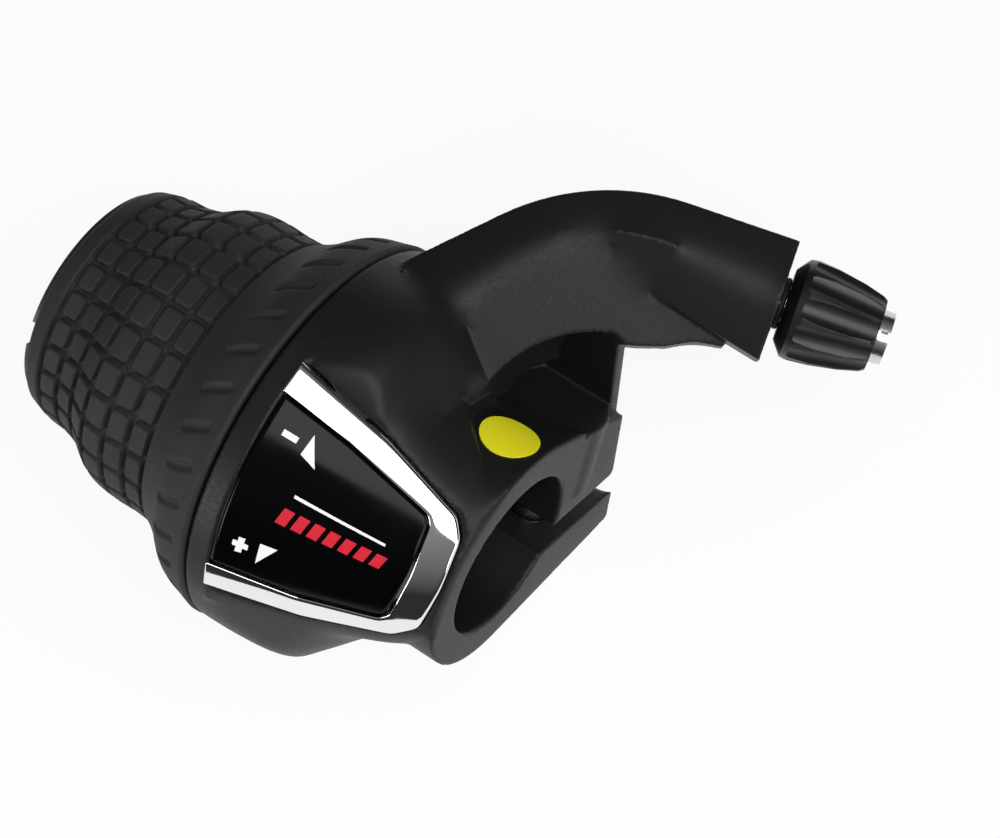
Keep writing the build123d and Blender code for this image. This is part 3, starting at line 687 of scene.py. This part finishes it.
def relaxed(places, share):
    """Places of the vertices after each has gone its share of the way to the middle of its neighbours."""
    moved = np.empty_like(places)
    for axis in range(3):
        line = places[:, axis]
        total = np.bincount(starts, line[stops], len(line)) + np.bincount(stops, line[starts], len(line))
        moved[:, axis] = line + share * (total / degree - line)
    return moved


soft_points, hard_points = fold_points(whole)
flow = ease(*blend_reach, nearest(soft_points, spots)) * ease(*edge_keep, nearest(hard_points, spots))
flow *= (np.hypot(spots[:, 1], spots[:, 2]) > outside_r) & (spots[:, 0] > outside_x)
flow *= ease(*scoop_edge, np.linalg.norm(spots - scoop_middle, axis=1))
for _ in range(edge_passes):
    spots = relaxed(spots, edge_share)
for _ in range(blend_passes):
    spots = relaxed(spots, blend_share * flow)
near = np.flatnonzero((spots[:, 0] > panel_x) & ((spots - panel_middle) @ panel_up > -panel_depth))
rounding = np.zeros(len(spots))
for lap in range(recess_passes + 1):
    on_plane = (spots[near] - panel_middle) @ np.stack([panel_along, panel_aside], 1)
    off_frame = off_outline(on_plane, frame_outline)
    spot_r = np.hypot(spots[near, 1], spots[near, 2])
    cone_r = cone_radius(spots[near, 0])
    under_frame = np.maximum(recess_in_slope * off_frame, recess_in)
    highest = cone_r + recess_drop + np.where(off_frame > 0, recess_slope * off_frame, under_frame)
    spots[near, 1:] *= np.minimum(1.0, highest / spot_r)[:, None]
    if lap < recess_passes:
        runout_here = runout + runout_more * ease(*saddle_side, on_plane[:, 1])
        fade = ease(*runout_fade, off_frame / runout_here) * ease(*recess_inner_fade, off_frame)
        rounding[near] = recess_share * fade * (spot_r > cone_r - panel_t)
        spots = relaxed(spots, rounding)
even.vertices.foreach_set("co", (spots * MM).astype(np.float32).ravel())
even.update()
moulding = make_piece("housing_moulding", even, nylon, "body")
thinner = moulding.modifiers.new("fewer_faces", "DECIMATE")
thinner.ratio = min(1.0, most_triangles / (2 * len(even.polygons)))
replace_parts(moulding, "housing")

# Prints on the lens: a minus, a plus, two arrows and a row of red bars under a thin white line
ink_rise = 0.03
bar_count = 7
bar_first_x = -20.2
bar_pitch = 1.85
bar_first_deg = -23.0
bar_fall_deg = 0.32
bar_corners = ((0.5, 0.0), (1.75, -0.3), (1.25, -5.6), (0.0, -5.2))


def print_shape(name, corners, finish, cuts=6):
    """A thin print on the lens, a field between four corners.

    A corner is a place along the bar and degrees round it.
    """
    a, b, c, d = (np.array(corner, float) for corner in corners)
    u, v = np.meshgrid(np.linspace(0, 1, cuts), np.linspace(0, 1, cuts), indexing="ij")
    u, v = u.reshape(-1, 1), v.reshape(-1, 1)
    places = (1 - u) * (1 - v) * a + u * (1 - v) * b + u * v * c + (1 - u) * v * d
    x, deg = places.T
    points = around_bar(x, cone_radius(x) - lens_drop + ink_rise, np.radians(deg))
    mesh = mesh_of(name, points, grid_faces(cuts, cuts, False))
    return make_piece(name, mesh, finish, "body")


for name, corners, cuts in (
    ("print_minus", ((-23.7, -3.45), (-21.85, -3.5), (-21.85, -5.3), (-23.7, -5.25)), 6),
    ("print_plus_bar", ((-23.8, -37.9), (-22.0, -38.4), (-22.0, -40.2), (-23.8, -39.7)), 6),
    ("print_plus_post", ((-23.25, -36.6), (-22.5, -36.6), (-22.6, -41.6), (-23.35, -41.6)), 6),
    ("print_arrow_up", ((-20.62, -0.6), (-20.62, -0.6), (-18.7, -9.05), (-20.85, -7.2)), 10),
    ("print_arrow_down", ((-20.83, -36.5), (-18.81, -36.75), (-20.82, -43.8), (-20.82, -43.8)), 10),
    ("print_line", ((-19.3, -18.2), (-8.2, -20.4), (-8.2, -21.4), (-19.3, -19.2)), 16),
):
    print_shape(name, corners, white_ink, cuts)
for k in range(bar_count):
    bar_x = bar_first_x + bar_pitch * k
    bar_deg = bar_first_deg - bar_fall_deg * k
    corners = [(bar_x + more_x, bar_deg + more_deg) for more_x, more_deg in bar_corners]
    print_shape(f"print_bar_{k}", corners, red_ink)

# Floor: pale seamless sheet under the lowest point, lifted to white for the eye, keeping a soft shadow
floor_side = 560
floor_gap = 0.2
floor_lift = 0.9
bpy.ops.mesh.primitive_plane_add(size=floor_side * MM, location=(0, 0, cad_box[0].z - floor_gap * MM))
floor = bpy.context.object
floor.name = "floor"
sheet = surface(
    "white_studio_sheet", "#f4f4f4", "#f8f8f8", rough=(0.85, 0.95),
    patch_mm=200.0, grain_mm=3.0, depth_mm=0.02,
)
tree = sheet.node_tree
glow = add_node(tree, "ShaderNodeEmission", {"Color": linear("#ffffff"), "Strength": 1.0})
ray = add_node(tree, "ShaderNodeLightPath").outputs
seen = add_node(
    tree, "ShaderNodeMath", {0: ray["Is Camera Ray"], 1: ray["Is Glossy Ray"]}, operation="MAXIMUM"
)
lifted = add_node(tree, "ShaderNodeMath", {0: seen.outputs[0], 1: floor_lift}, operation="MULTIPLY")
mixed = add_node(
    tree,
    "ShaderNodeMixShader",
    {0: lifted.outputs[0], 1: tree.nodes["Principled BSDF"].outputs[0], 2: glow.outputs[0]},
)
tree.links.new(mixed.outputs[0], tree.nodes["Material Output"].inputs["Surface"])
floor.data.materials.append(sheet)

# Studio: a room that fades from a pale ceiling to a dark horizon, with softboxes above, at the end and aside
room_low = 0.3
room_high = 0.95
room_dark = 0.03
room_pale = 0.26
softbox_target = (-20, 5, 0)
# Softboxes: name, place, width and height in mm, and watts
softboxes = (
    ("overhead_softbox", (300, 90, 520), 440, 440, 2.7),
    ("end_softbox", (550, -100, 220), 300, 250, 1.0),
    ("side_softbox", (-300, -500, 250), 300, 300, 1.75),
)
world = bpy.data.worlds.new("studio_room")
world.use_nodes = True
tree = world.node_tree
way = add_node(tree, "ShaderNodeTexCoord").outputs["Generated"]
upward = add_node(tree, "ShaderNodeSeparateXYZ", {0: way}).outputs["Z"]
room_fade = add_node(
    tree,
    "ShaderNodeMapRange",
    {"Value": upward, "From Min": room_low, "From Max": room_high, "To Min": room_dark, "To Max": room_pale},
).outputs[0]
tree.nodes["Background"].inputs["Color"].default_value = linear("#ffffff")
ray = add_node(tree, "ShaderNodeLightPath").outputs
bright = add_node(tree, "ShaderNodeMath", {0: room_fade, 1: ray["Is Camera Ray"]}, operation="MAXIMUM")
tree.links.new(bright.outputs[0], tree.nodes["Background"].inputs["Strength"])
bpy.context.scene.world = world
for name, place, width, height, watts in softboxes:
    lamp = bpy.data.lights.new(name, "AREA")
    lamp.shape = "RECTANGLE"
    lamp.size = width * MM
    lamp.size_y = height * MM
    lamp.energy = watts
    stand = bpy.data.objects.new(name, lamp)
    stand.location = Vector(place) * MM
    aim = Vector(softbox_target) - Vector(place)
    stand.rotation_euler = aim.to_track_quat("-Z", "Y").to_euler()
    bpy.context.scene.collection.objects.link(stand)

# Camera: the photograph's view from above the clamp's end
eye_place = (115.791, -0.001, 383.39)
eye_turn_deg = (11.591, 14.291, 33.571)
optics = bpy.data.cameras.new("photo_camera")
optics.sensor_width = 36.0
optics.lens = 118.08
optics.clip_start = 10 * MM
eye = bpy.data.objects.new("photo_camera", optics)
eye_turn = Euler([math.radians(deg) for deg in eye_turn_deg])
eye.matrix_world = Matrix.LocRotScale(Vector(eye_place) * MM, eye_turn, None)
bpy.context.scene.collection.objects.link(eye)
bpy.context.scene.camera = eye
bpy.context.scene.view_settings.view_transform = "Standard"
